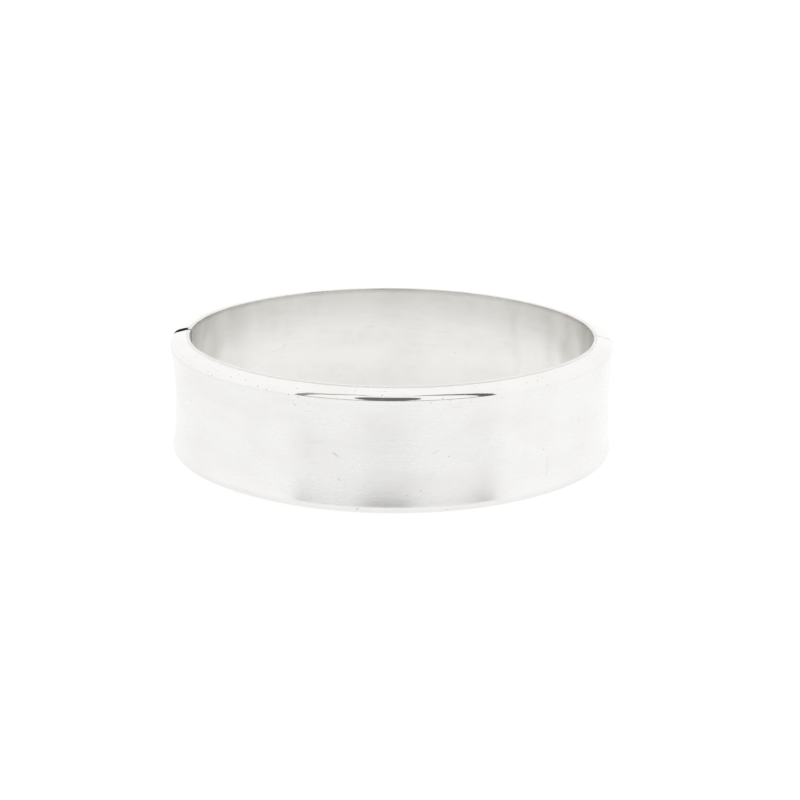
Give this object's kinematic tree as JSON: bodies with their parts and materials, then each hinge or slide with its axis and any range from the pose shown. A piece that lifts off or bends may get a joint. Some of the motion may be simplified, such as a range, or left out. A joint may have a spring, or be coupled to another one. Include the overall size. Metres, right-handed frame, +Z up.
{
  "type": "bangle bracelet",
  "caption": "Hinged oval bangle in polished silver: two hollow halves with a slightly hollowed outer face, rolled rims, a pin hinge and a spring tongue clasp.",
  "frame": {"origin": "middle of the flat oval edge that the bangle stands on", "axes": "+Z up along the height of the band, +X along the long inside width from the hinge to the clasp, -Y towards the front half"},
  "size_m": [0.0636, 0.0556, 0.0176],
  "materials": {
    "outer_silver": "polished",
    "lining_silver": "polished",
    "fitting_silver": "satin",
    "spring_silver": "satin"
  },
  "bodies": {
    "rear_half": {"rear_outer_shell": "outer_silver", "rear_inner_lining": "lining_silver", "rear_hinge_end_plate": "fitting_silver", "rear_clasp_end_plate": "fitting_silver", "rear_catch_box": "fitting_silver", "rear_knuckle_lower": "fitting_silver", "rear_knuckle_upper": "fitting_silver", "hinge_pin": "fitting_silver"},
    "front_half": {"front_outer_shell": "outer_silver", "front_inner_lining": "lining_silver", "front_hinge_end_plate": "fitting_silver", "front_clasp_end_plate": "fitting_silver", "front_knuckle_bottom": "fitting_silver", "front_knuckle_middle": "fitting_silver", "front_knuckle_top": "fitting_silver", "clasp_tongue": "spring_silver"},
    "spring_leaf": {"clasp_spring_leaf": "spring_silver", "clasp_thumb_tab": "outer_silver"}
  },
  "joints": [
    {"name": "hinge_open", "type": "hinge", "parent": "rear_half", "child": "front_half", "pos_m": [-0.0305, 0, 0.0088], "axis": [0, 0, -1], "range_deg": [0, 62]},
    {"name": "tab_press", "type": "hinge", "parent": "front_half", "child": "spring_leaf", "pos_m": [0.02988, 0.0042, 0.0088], "axis": [0, 0, -1], "range_deg": [0, 6.3], "stiffness_Nm_per_rad": 0.06}
  ]
}
